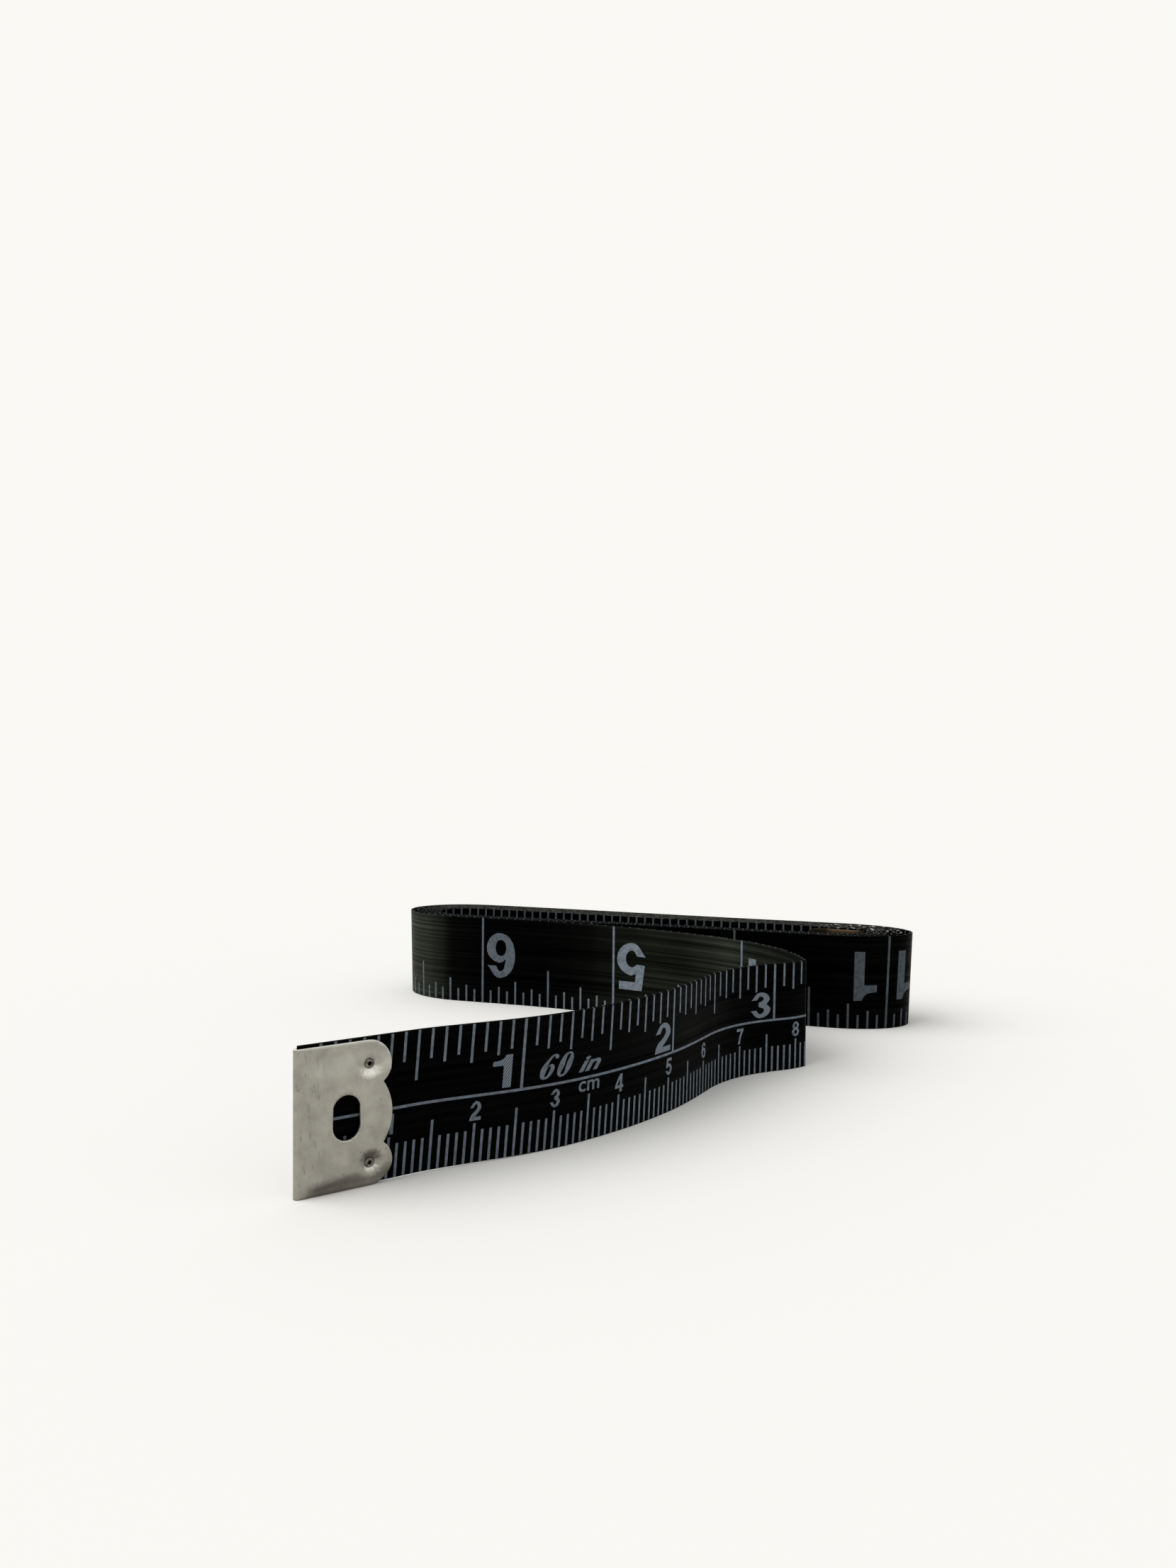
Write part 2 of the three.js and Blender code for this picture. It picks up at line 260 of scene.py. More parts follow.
def windPoint(turn, leftDepth):
    w = windSet
    half = w["halfLength"]
    far = w["outerRadius"] - w["farPitch"] * turn
    near = w["outerRadius"] - w["nearPitch"] * turn
    bend = (far + near) / 2
    leftShare = max(0, turn - w["leftFirst"]) / w["leftCount"]
    rightShare = max(0, turn - w["rightFirst"]) / w["rightCount"]
    reach = w["endStretch"] * bend
    left = w["leftInset"] + leftDepth * leftShare ** w["gather"] + reach - half
    right = half - w["rightInset"] - w["rightDepth"] * rightShare ** w["gather"] - reach
    quarter, share = divmod(((turn + w["leavePhase"]) % 1) * 4, 1)
    angle = math.pi * share
    x, side = [
        (left - reach * math.sin(angle), -math.cos(angle)),
        (left + (right - left) * share, 1),
        (right + reach * math.sin(angle), math.cos(angle)),
        (right + (left - right) * share, -1),
    ][int(quarter)]
    away = min(1, abs(x - w["waistPlace"]) / w["waistReach"])
    draw = w["waistDraw"] * math.cos(away * math.pi / 2) ** 2 + w["lobeTaper"] * x / half
    draw += w["farDraw"] * spanShare(x, w["farSpan"]) * (1 + side) / 2
    return Vector((x, (far - near) / 2 + side * (bend - draw)))


def windLine(leftDepth):
    w = windSet
    lastRound = math.floor(w["turns"] + w["leavePhase"])
    turns = []
    for quarter in range(4 * lastRound + 2):
        steps = w["sideSteps"] if quarter % 2 else w["bendSteps"]
        turns += [(quarter + i / steps) / 4 - w["leavePhase"] for i in range(steps)]
    line = [windPoint(0, leftDepth)] + [windPoint(t, leftDepth) for t in turns if t > 0]
    lastPass = len(line) - w["sideSteps"]
    line = line[:lastPass] + [p for p in line[lastPass:] if p.x < w["tailStart"] - w["tailClear"]]
    slope = (line[-1] - line[-2]).normalized()
    line.append(line[-1] + slope * ((w["tailStart"] - line[-1].x) / slope.x))
    turnAway = math.atan2(slope.y, slope.x) - math.radians(w["tailStandOff"])
    line.append(line[-1] + Vector((math.cos(turnAway), math.sin(turnAway))) * w["tailLength"])
    offset = leavePoint - line[0]
    return [p + offset for p in line]


def lineLength(line):
    return sum((b - a).length for a, b in zip(line, line[1:]))


leadLine = smoothRoute(leadKnots)
returnLine = smoothRoute(returnKnots)
trim, pull = creaseSet["trim"], creaseSet["pull"]
leadIn = crease + (leadLine[-2] - crease).normalized() * trim
leadOut = crease + (returnLine[1] - crease).normalized() * trim
bentCrease = geometry.interpolate_bezier(
    leadIn, leadIn.lerp(crease, pull), leadOut.lerp(crease, pull), leadOut, creaseSet["points"])
clear = trim + tapeSet["margin"]
freeLine = [p for p in leadLine if (p - crease).length > clear] + bentCrease
freeLine += [p for p in returnLine[:-1] if (p - crease).length > clear]

shallow, deep = 0, windSet["leftDeepest"]
while deep - shallow > windSet["lengthFit"]:     # the left ends take up whatever length is left
    middle = (shallow + deep) / 2
    if lineLength(freeLine + windLine(middle)) > tapeSet["length"]:
        shallow = middle
    else:
        deep = middle
tapeLine = freeLine + windLine(shallow)
freeLength = lineLength(freeLine)
hankMiddle = leavePoint.y - windPoint(0, shallow).y
stations = [0]
for a, b in zip(tapeLine, tapeLine[1:]):
    stations.append(stations[-1] + (b - a).length)
creaseAt = min(zip(tapeLine, stations), key=lambda p: (p[0] - crease).length)[1]
creaseCuts = [s for s in stations if abs(s - creaseAt) < creaseSet["cutReach"]]
sides = []
for i, here in enumerate(tapeLine):
    before = (here - tapeLine[max(0, i - 1)]).normalized()                   # zero at the first point
    after = (tapeLine[min(i + 1, len(tapeLine) - 1)] - here).normalized()    # zero at the last one
    mitre = (before + after) / (1 + before.dot(after))
    sides.append(Vector((-mitre.y, mitre.x)))
print("tape line", round(stations[-1], 2), "mm,", len(tapeLine), "points, left ends", round(shallow, 2),
      "mm deep")


def valueAlong(knots, along):
    for (here, before), (there, after) in zip(knots, knots[1:]):
        if along < there:
            return before + (after - before) * ease((along - here) / (there - here))
    return knots[-1][1]


def tipLift(fromFold):
    share = min(1, max(0, (fromFold - tapeSet["tipLength"]) / tapeSet["liftReach"]))
    return tapeSet["tipOverhang"] * (1 + math.cos(math.pi * share)) / 2


def endLean(x):
    w = windSet
    return w["rightLean"] * spanShare(x, w["rightSpan"]) - w["leftLean"] * spanShare(x, w["leftSpan"])


# Takes a mesh laid out flat (X along the tape, Y through it, Z across it) to its place in the winding
def windUp(bm):
    tapeMap = bm.loops.layers.uv.new("tapeMap")
    for face in bm.faces:
        for loop in face.loops:
            loop[tapeMap].uv = (loop.vert.co.x, loop.vert.co.z)
    for v in bm.verts:
        along, out, up = v.co
        i = min(max(bisect.bisect_right(stations, along) - 1, 0), len(stations) - 2)
        share = (along - stations[i]) / (stations[i + 1] - stations[i])
        point = tapeLine[i].lerp(tapeLine[i + 1], share) + sides[i].lerp(sides[i + 1], share) * out
        if along > freeLength:
            point.x += endLean(point.x) * up / tapeSet["width"]
        v.co = (point.x, point.y, up + tipLift(min(along, stations[-1] - along)))


# PVC coating, calendered over a glass-fibre core: a deep black skin with faint streaks drawn along it,
# with a streaky grey painted sheen on the bends where light grazes the tape
def coatedTape():
    material, tree, skin = startMaterial("pvcCoatedFibreTape")
    spot = addNode(tree, "ShaderNodeUVMap", uv_map="tapeMap")                # in millimetres
    drawn = addNode(tree, "ShaderNodeMapping", {"Vector": spot.outputs[0]}, {"Scale": (0.012, 1.5, 1)})
    streaks = addNode(tree, "ShaderNodeTexNoise", {"Vector": drawn.outputs[0]},
                      {"Scale": 1, "Detail": 4, "Roughness": 0.62})
    broad = addNode(tree, "ShaderNodeMapping", {"Vector": spot.outputs[0]}, {"Scale": (0.03, 0.1, 1)})
    clouds = addNode(tree, "ShaderNodeTexNoise", {"Vector": broad.outputs[0]}, {"Scale": 1, "Detail": 2})
    shine = addRange(tree, streaks.outputs["Fac"], (0.3, 0.75), (0.003, 0.02))
    gloss = addRange(tree, clouds.outputs["Fac"], (0.3, 0.7), (0.3, 0.44))
    tone = addRamp(tree, streaks.outputs["Fac"], (0.42, "#000000"), (0.8, "#040504"))
    # painted sheen: a streaky grey standing in for light grazing the bends
    paintedSheen = addRamp(tree, streaks.outputs["Fac"], (0.36, "#121410"), (0.66, "#3d4139"))
    sheenShare = addNode(tree, "ShaderNodeAttribute", attribute_name="paintedSheen")
    sheenMixed = addNode(tree, "ShaderNodeMix", {0: sheenShare.outputs["Fac"], 6: tone, 7: paintedSheen},
                      data_type="RGBA")
    tree.links.new(sheenMixed.outputs[2], skin.inputs["Base Color"])
    tree.links.new(gloss, skin.inputs["Roughness"])
    tree.links.new(shine, skin.inputs["Specular IOR Level"])
    return material


edgeSet = {
    "paleSpan": (-5, 2),                    # from the hank's middle: pressed nearer, loose further
    "glintPlace": (0.042, 0.049, 0.0155),     # metres
    "glintReach": (0.013, 0.009),
    "glintTone": "#d2cfc4",
}


# The slit edge of the tape: glass fibre between the two black skins, almost black where the turns are
# pressed together and paler grey where they lie loose and under the painted sheen, with painted pale glints
# on the top edges by the rear tip
def slitEdge():
    material, tree, skin = startMaterial("slitFibreEdge")
    spot = addNode(tree, "ShaderNodeTexCoord")
    fibre = addNode(tree, "ShaderNodeTexNoise", {"Vector": spot.outputs["Object"]},
                    {"Scale": 900, "Detail": 3, "Roughness": 0.65})          # about 1 mm grain, which also places the painted glints
    pressed = addRamp(tree, fibre.outputs["Fac"], (0.38, "#0a0a09"), (0.68, "#1e1e1b"))
    paleEdge = addRamp(tree, fibre.outputs["Fac"], (0.38, "#1c1c1a"), (0.68, "#4c4c47"))
    # painted glints: pale flecks on the top edges near the rear tip
    away = addNode(tree, "ShaderNodeVectorMath", {0: spot.outputs["Object"]}, {1: edgeSet["glintPlace"]},
                   operation="DISTANCE")
    near = addRange(tree, away.outputs["Value"], edgeSet["glintReach"])
    glintSpots = addRange(tree, fibre.outputs["Fac"], (0.58, 0.62))
    glintShare = addNode(tree, "ShaderNodeMath", {0: near, 1: glintSpots}, operation="MULTIPLY")
    glinted = addTone(tree, glintShare.outputs[0], paleEdge, edgeSet["glintTone"])
    # paler on the far side of the hank, and where the painted sheen lies on the bends
    paleAndSheen = addNode(tree, "ShaderNodeAttribute", attribute_name="paleAndSheen")
    tone = addNode(tree, "ShaderNodeMix", {0: paleAndSheen.outputs["Fac"], 6: pressed, 7: glinted},
                   data_type="RGBA")
    tree.links.new(tone.outputs[2], skin.inputs["Base Color"])
    skin.inputs["Roughness"].default_value = 0.8
    skin.inputs["Specular IOR Level"].default_value = 0
    return material


# A matt film, painted brighter or darker along the tape as painted light and shade
def layInk(tree, skin, tone):
    inkShading = addNode(tree, "ShaderNodeAttribute", attribute_name="inkPaintedLight")
    laid = addNode(tree, "ShaderNodeVectorMath", {0: tone, "Scale": inkShading.outputs["Fac"]},
                   operation="SCALE")
    tree.links.new(laid.outputs[0], skin.inputs["Base Color"])
    skin.inputs["Roughness"].default_value = 0.6
    skin.inputs["Specular IOR Level"].default_value = 0.06


# Screen-printed vinyl ink: a thin matt blue-grey film, a little starved in places, with painted light and
# shade along the tape
def screenInk():
    material, tree, skin = startMaterial("screenPrintedInk")
    spot = addNode(tree, "ShaderNodeUVMap", uv_map="tapeMap")
    patches = addNode(tree, "ShaderNodeTexNoise", {"Vector": spot.outputs[0]},
                      {"Scale": 1.2, "Detail": 4, "Roughness": 0.7})         # about 0.8 mm patches
    tone = addRamp(tree, patches.outputs["Fac"], (0.3, "#464d54"), (0.66, "#666e76"))
    layInk(tree, skin, tone)
    return material


hatchSet = {
    "gap": 0.24,
    "angle": 42,
    "band": 0.314,      # a wave texture's own spacing at scale 1
}


# The same ink laid through a fine diagonal screen, which leaves hatching in the large figures
def hatchedInk():
    material, tree, skin = startMaterial("hatchedPrintedInk")
    spot = addNode(tree, "ShaderNodeUVMap", uv_map="tapeMap")
    slant = addNode(tree, "ShaderNodeMapping", {"Vector": spot.outputs[0]},
                    {"Rotation": (0, 0, math.radians(hatchSet["angle"]))})
    lines = addNode(tree, "ShaderNodeTexWave", {"Vector": slant.outputs[0]},
                    {"Scale": hatchSet["band"] / hatchSet["gap"], "Distortion": 0.3, "Detail": 1})
    tone = addRamp(tree, lines.outputs["Fac"], (0.1, "#3a4148"), (0.55, "#69717a"))
    layInk(tree, skin, tone)
    return material


tapeBlack, edgeGrey, inkGrey, inkHatched = coatedTape(), slitEdge(), screenInk(), hatchedInk()


def makeTape():
    t = tapeSet
    bm = bmesh.new()
    bmesh.ops.create_grid(bm, x_segments=1, y_segments=1, size=0.5)
    bmesh.ops.scale(bm, vec=(t["thickness"], t["width"], 1), verts=bm.verts)
    bmesh.ops.bevel(bm, geom=bm.verts[:], offset=t["edgeRound"], offset_type="OFFSET",
                    segments=t["edgeSteps"], profile=0.5, affect="VERTICES", material=-1)
    stand = Matrix(((0, 0, 1, 0), (1, 0, 0, 0), (0, 1, 0, t["width"] / 2), (0, 0, 0, 1)))
    bmesh.ops.transform(bm, matrix=stand, verts=bm.verts)
    first, last = t["tipGap"], t["length"] - t["tipGap"]
    cuts = [first] + [s for s in stations if first + t["margin"] < s < last - t["margin"]] + [last]
    bmesh.ops.translate(bm, vec=(first, 0, 0), verts=bm.verts)
    bmesh.ops.delete(bm, geom=bm.faces[:], context="FACES_ONLY")
    ring = firstRing = bm.edges[:]
    for here, there in zip(cuts, cuts[1:]):
        made = bmesh.ops.extrude_edge_only(bm, edges=ring)["geom"]
        ring = [e for e in made if isinstance(e, bmesh.types.BMEdge)]
        bmesh.ops.translate(bm, vec=(there - here, 0, 0), verts=onlyVerts(made))
    bmesh.ops.edgeloop_fill(bm, edges=firstRing)
    bmesh.ops.edgeloop_fill(bm, edges=ring)
    bmesh.ops.recalc_face_normals(bm, faces=bm.faces)
    for face in bm.faces:
        slit = abs(face.normal.z) > t["edgeFacing"] or abs(face.normal.x) > t["endFacing"]
        face.material_index = 1 if slit else 0
    # painted sheen on the bends, by place along the tape
    paintedSheen = bm.verts.layers.float.new("paintedSheen")
    for v in bm.verts:
        v[paintedSheen] = valueAlong(sheenKnots, v.co.x)
    windUp(bm)
    # the slit edge is paler on the far side of the hank, and also under the painted sheen
    paleAndSheen = bm.verts.layers.float.new("paleAndSheen")
    for v in bm.verts:
        v[paleAndSheen] = max(v[paintedSheen], spanShare(v.co.y - hankMiddle, edgeSet["paleSpan"]))
    return finishPiece("tape", bm, tapeBlack, edgeGrey, sharp=t["sharp"])


tape = makeTape()
print("tape", len(tape.data.polygons), "faces")


# Figures of a bold grotesque, 100 high; a third value of 1 marks a corner
figureLoops = {
    "0": [[(33, 100), (1, 50), (33, 0), (65, 50)], [(33, 84), (45, 50), (33, 16), (21, 50)]],
    "1": [[(52, 0, 1), (52, 100, 1), (37, 100, 1), (29, 87), (9, 82, 1), (9, 68, 1), (33, 68, 1),
           (33, 0, 1)]],
    "2": [[(2, 0, 1), (65, 0, 1), (65, 18, 1), (30, 18, 1), (50, 39), (64, 69), (34, 100), (3, 65, 1),
           (22, 65, 1), (34, 84), (44, 69), (34, 50), (11, 29)]],
    "3": [[(3, 71, 1), (22, 71, 1), (33, 84), (43, 72), (27, 60, 1), (27, 45, 1), (45, 30), (32, 16),
           (20, 31, 1), (1, 31, 1), (32, 0), (65, 29), (52, 53, 1), (62, 74), (33, 100)]],
    "4": [[(37, 0, 1), (56, 0, 1), (56, 22, 1), (67, 22, 1), (67, 38, 1), (56, 38, 1), (56, 100, 1),
           (37, 100, 1), (0, 40, 1), (0, 22, 1), (37, 22, 1)], [(37, 38, 1), (16, 38, 1), (37, 73, 1)]],
    "5": [[(10, 100, 1), (61, 100, 1), (61, 83, 1), (25, 83, 1), (23, 65, 1), (38, 69), (66, 35), (32, 0),
           (1, 28, 1), (20, 28, 1), (32, 16), (46, 34), (34, 52), (21, 45, 1), (3, 46, 1)]],
    "6": [[(63, 73, 1), (34, 100), (1, 48), (33, 0), (65, 33), (38, 66), (21, 58, 1), (34, 85),
           (44, 73, 1)], [(33, 51), (45, 33), (33, 15), (21, 33)]],
    "7": [[(2, 100, 1), (65, 100, 1), (65, 84, 1), (44, 48), (36, 0, 1), (15, 0, 1), (24, 42), (43, 82, 1),
           (2, 82, 1)]],
    "8": [[(33, 100), (4, 74), (14, 53, 1), (0, 29), (33, 0), (66, 29), (52, 53, 1), (62, 74)],
          [(33, 85), (43, 73), (33, 61), (23, 73)], [(33, 45), (46, 30), (33, 15), (20, 30)]],
}
figureLoops["9"] = [[(66 - p[0], 100 - p[1], *p[2:]) for p in loop] for loop in figureLoops["6"]]
# The heavy script of the length mark, drawn upright and slanted when it is stamped
scriptLoops = {
    "6": [[(66, 82), (48, 100), (17, 74), (2, 32), (28, 0), (62, 33), (46, 60), (26, 47, 1), (33, 76),
           (47, 91), (53, 82)], [(39, 52), (43, 36), (30, 10), (27, 25)]],
    "0": [[(38, 100), (3, 44), (30, 0), (67, 56)], [(41, 91), (30, 44), (29, 9), (40, 57)]],
}
printSet = {
    "ink": 0.012,             # film thickness
    "sunk": 0.008,            # its underside lies in the tape
    "figureWidth": 0.66,      # of its height
    "figureGap": 0.1,
    "flat": 0.01,             # radians: flatter corners are dissolved
    "capHeight": 0.72,        # of the built-in typeface
    "wordFineness": 4,
    "wordStrip": 0.6,
}


def figureCurve(loops, fineness):
    curve = bpy.data.curves.new("figure", "CURVE")
    curve.dimensions = "2D"
    curve.fill_mode = "BOTH"
    curve.resolution_u = fineness
    for loop in loops:
        spline = curve.splines.new("BEZIER")
        spline.use_cyclic_u = True
        spline.bezier_points.add(len(loop) - 1)
        for knot, (x, y, *corner) in zip(spline.bezier_points, loop):
            knot.co = (x / 100, y / 100, 0)
            knot.handle_left_type = knot.handle_right_type = "VECTOR" if corner else "AUTO"
    return curve


# A flat shape standing in X and Z, cut into strips so that it can bend, with the ink's thickness
def inkMesh(curve, size, strip):
    holder = bpy.data.objects.new("letter", curve)
    shape = bpy.data.meshes.new_from_object(holder)
    bm = bmesh.new()
    bm.from_mesh(shape)
    bpy.data.objects.remove(holder)
    bpy.data.meshes.remove(shape)
    bmesh.ops.remove_doubles(bm, verts=bm.verts, dist=weld)
    bmesh.ops.dissolve_limit(bm, angle_limit=printSet["flat"], verts=bm.verts, edges=bm.edges)
    bmesh.ops.scale(bm, vec=(size[0], size[1], 1), verts=bm.verts)
    x, end = min(v.co.x for v in bm.verts) + strip, max(v.co.x for v in bm.verts) - strip / 3
    while x < end:
        bmesh.ops.bisect_plane(bm, geom=allParts(bm), plane_co=(x, 0, 0), plane_no=(1, 0, 0), dist=weld)
        x += strip
    bmesh.ops.rotate(bm, matrix=Matrix.Rotation(math.pi / 2, 3, "X"), verts=bm.verts)
    bmesh.ops.recalc_face_normals(bm, faces=bm.faces)
    if sum(f.normal.y * f.calc_area() for f in bm.faces) > 0:
        bmesh.ops.reverse_faces(bm, faces=bm.faces)
    bmesh.ops.translate(bm, vec=(0, printSet["sunk"], 0), verts=bm.verts)
    made = bmesh.ops.extrude_face_region(bm, geom=bm.faces[:])["geom"]
    bmesh.ops.translate(bm, vec=(0, -printSet["ink"] - printSet["sunk"], 0), verts=onlyVerts(made))
    mesh = bpy.data.meshes.new("letter")
    bm.to_mesh(mesh)
    bm.free()
    return mesh


def figureSet(loopSet, height, stretch, strip, fineness):
    size = (height * stretch, height)
    return {name: inkMesh(figureCurve(loops, fineness), size, strip) for name, loops in loopSet.items()}


def unitMesh(p):
    curve = bpy.data.curves.new("word", "FONT")
    curve.body = p["unit"]
    curve.shear = p["unitSlant"]
    curve.offset = p["unitWeight"]
    curve.resolution_u = printSet["wordFineness"]
    height, cap = p["unitHeight"], printSet["capHeight"]
    return inkMesh(curve, (height * p["unitStretch"] / cap, height / cap), printSet["wordStrip"])


# A row of straight strokes, each given by its place along the tape, its two ends across it and its width
def strokeMesh(strokes):
    bm = bmesh.new()
    deep = printSet["ink"] + printSet["sunk"]
    for x, low, high, wide in strokes:
        middle = Matrix.Translation((x, (printSet["sunk"] - printSet["ink"]) / 2, (low + high) / 2))
        bmesh.ops.create_cube(bm, size=1, matrix=middle @ Matrix.Diagonal((wide, deep, high - low, 1)))
    mesh = bpy.data.meshes.new("strokes")
    bm.to_mesh(mesh)
    bm.free()
    return mesh


# The print is drawn on the front face; on the back it is turned half round the tape's length
halfThick = tapeSet["thickness"] / 2
faceTurns = {
    "front": Matrix.Translation((0, -halfThick, 0)),
    "back": Matrix.Translation((0, halfThick, tapeSet["width"])) @ Matrix.Rotation(math.pi, 4, "X"),
}


def stampMark(bm, mark, matrix):
    copy = mark.copy()
    copy.transform(matrix)
    bm.from_mesh(copy)
    bpy.data.meshes.remove(copy)


def advanceOf(height, stretch):
    return height * stretch * (printSet["figureWidth"] + printSet["figureGap"])


def stampNumber(bm, figures, number, p, right, foot, turn):
    height, stretch = p["figureHeight"], p["stretch"]
    for i, figure in enumerate(reversed(str(number))):
        x = right - (i + 1) * advanceOf(height, stretch) + height * stretch * printSet["figureGap"]
        stampMark(bm, figures[figure], turn @ Matrix.Translation((x, 0, foot)))


# The print's top leans along the tape; marks past the tape's ends are cut off, and the rest is wound up
def finishPrint(name, bm, leanAt, *materials):
    for v in bm.verts:
        v.co.x += leanAt(v.co.x) * v.co.z / tapeSet["width"]
    # painted light and shade on the ink, brighter or darker along the tape
    inkShading = bm.verts.layers.float.new("inkPaintedLight")
    for v in bm.verts:
        v[inkShading] = valueAlong(inkLightKnots, v.co.x)
    first, last = tapeSet["tipGap"], tapeSet["length"] - tapeSet["tipGap"]
    for end, way in ((first + tapeSet["margin"], -1), (last - tapeSet["margin"], 1)):
        bmesh.ops.bisect_plane(bm, geom=allParts(bm), plane_co=(end, 0, 0), plane_no=(way, 0, 0),
                               dist=weld, clear_outer=True)
    faces = [f for f in bm.faces if abs(f.calc_center_bounds().x - creaseAt) < creaseSet["inkReach"]]
    edges = dict.fromkeys(e for f in faces for e in f.edges)
    corners = dict.fromkeys(v for f in faces for v in f.verts)
    near = [*faces, *edges, *corners]
    for cut in creaseCuts:                     # the ink bends at the crease where the tape does
        near = bmesh.ops.bisect_plane(bm, geom=near, plane_co=(cut, 0, 0), plane_no=(1, 0, 0),
                                      dist=weld)["geom"]
    windUp(bm)
    return finishPiece(name, bm, *materials)


inchSet = {
    "lean": 1.29,             # the print's top runs ahead of its bottom
    "leanLost": 1.05,         # and less so past the S-bend
    "leanSpan": (30, 76),
    "tickWidth": 0.31,
    "lineWidth": 0.35,
    "ticks": {1: 3.2, 2: 3.75, 4: 4.25, 8: 5.35},    # lengths for sixteenths, eighths, quarters and halves
    "railMiddle": 7.4,        # the line between the two scales
    "railWidth": 0.3,
    "railPieces": 40,
    "figureHeight": 3.66,
    "stretch": 1.5,
    "strip": 0.6,             # figures are cut into strips this wide, so that they can bend
    "fineness": 4,
    "figureRise": 0.3,        # from the rail to a figure's foot
    "figureStep": 0.42,       # from a figure to its inch line
    "edgeWidth": 0.24,        # ink carried over the edge
    "edgeHalf": 0.08,
    "scriptHeight": 2.74,
    "scriptStretch": 1.1,
    "scriptSlant": 0.33,
    "scriptPlace": 1.95,      # from the first inch line
    "scriptRise": 0.24,
    "scriptFineness": 6,
    "unit": "in",
    "unitHeight": 1.8,
    "unitStretch": 1.75,
    "unitSlant": 0.4,
    "unitWeight": 0.028,
    "unitPlace": (7.65, 0.35),
}


def frontLean(x):
    return inchSet["lean"] - inchSet["leanLost"] * spanShare(x, inchSet["leanSpan"])


def makeInchPrint():
    p, t = inchSet, tapeSet
    bm = bmesh.new()
    turn = faceTurns["front"]
    top = t["width"] - t["edgeRound"]
    rail = p["railMiddle"]
    foot = rail + p["railWidth"] / 2 + p["figureRise"]
    places = [i * inch / 16 for i in range(1, 17)]
    ticks = strokeMesh([(x, top - p["ticks"][math.gcd(i, 16)], top, p["tickWidth"])
                        for i, x in enumerate(places[:-1], 1)] + [(inch, rail, top, p["lineWidth"])])
    overEdge = strokeMesh([(x, -p["edgeHalf"], p["edgeHalf"], p["edgeWidth"]) for x in places])
    piece = inch / p["railPieces"]
    railRow = strokeMesh([((i + 0.5) * piece, rail - p["railWidth"] / 2, rail + p["railWidth"] / 2, piece)
                          for i in range(p["railPieces"])])
    ontoEdge = Matrix.Translation((0, 0, t["width"])) @ Matrix.Rotation(-math.pi / 2, 4, "X")
    figures = figureSet(figureLoops, p["figureHeight"], p["stretch"], p["strip"], p["fineness"])
    for mark in figures.values():
        for face in mark.polygons:
            face.material_index = 1
    for number in range(1, t["inches"] + 1):
        x = (number - 1) * inch
        step = Matrix.Translation((x, 0, 0))
        stampMark(bm, ticks, turn @ step)
        stampMark(bm, overEdge, step @ ontoEdge)
        stampMark(bm, railRow, turn @ step)
        right = x + inch - p["lineWidth"] / 2 - p["figureStep"]
        stampNumber(bm, figures, number, p, right, foot, turn)
    script = figureSet(scriptLoops, p["scriptHeight"], p["scriptStretch"], p["strip"], p["scriptFineness"])
    slant = Matrix.Identity(4)
    slant[0][2] = p["scriptSlant"]
    start = turn @ Matrix.Translation((inch + p["scriptPlace"], 0, foot + p["scriptRise"])) @ slant
    advance = advanceOf(p["scriptHeight"], p["scriptStretch"])
    for i, figure in enumerate(str(t["inches"])):
        stampMark(bm, script[figure], start @ Matrix.Translation((i * advance, 0, 0)))
    away, rise = p["unitPlace"]
    stampMark(bm, unitMesh(p), turn @ Matrix.Translation((inch + away, 0, foot + rise)))
    return finishPrint("inchPrint", bm, frontLean, inkGrey, inkHatched)


metricSet = {
    "tickWidth": 0.31,
    "ticks": {1: 3.55, 5: 5.35, 10: 4.3},    # lengths for millimetres, fives and centimetres
    "figureHeight": 2.15,
    "stretch": 1,
    "strip": 0.75,
    "fineness": 2,
    "figureRise": 0.3,        # from a tick to its figure's foot
    "unit": "cm",
    "unitHeight": 1.8,
    "unitStretch": 1.14,
    "unitSlant": 0,
    "unitWeight": 0.012,
    "unitPlace": (33.25, 5.85),
}


def makeMetricPrint():
    p, t = metricSet, tapeSet
    bm = bmesh.new()
    turn, low = faceTurns["front"], tapeSet["edgeRound"]
    figures = figureSet(figureLoops, p["figureHeight"], p["stretch"], p["strip"], p["fineness"])
    units = {x: math.gcd(x, 10) if x % 5 == 0 else 1 for x in range(1, 11)}
    ticks = strokeMesh([(x, low, low + p["ticks"][unit], p["tickWidth"]) for x, unit in units.items()])
    foot = low + p["ticks"][10] + p["figureRise"]
    for number in range(1, int(t["length"] / 10) + 2):
        x = number * 10
        stampMark(bm, ticks, turn @ Matrix.Translation((x - 10, 0, 0)))
        wide = len(str(number)) * (printSet["figureWidth"] + printSet["figureGap"]) - printSet["figureGap"]
        stampNumber(bm, figures, number, p, x + wide * p["figureHeight"] / 2, foot, turn)
    away, rise = p["unitPlace"]
    stampMark(bm, unitMesh(p), turn @ Matrix.Translation((away, 0, rise)))
    return finishPrint("metricPrint", bm, frontLean, inkGrey)


backSet = {
    "ahead": 0.18,            # the print starts a little late
    "lean": -0.06,
    "tickWidth": 0.34,
    "lineWidth": 0.38,
    "ticks": {1: 2.25, 2: 2.95, 4: 4.1, 8: 6.5},
    "figureHeight": 8.12,
    "stretch": 1.06,
    "strip": 0.5,
    "fineness": 5,
    "figureFoot": 2.6,        # from the edge that the figures stand on
    "figureStep": 0.5,
}


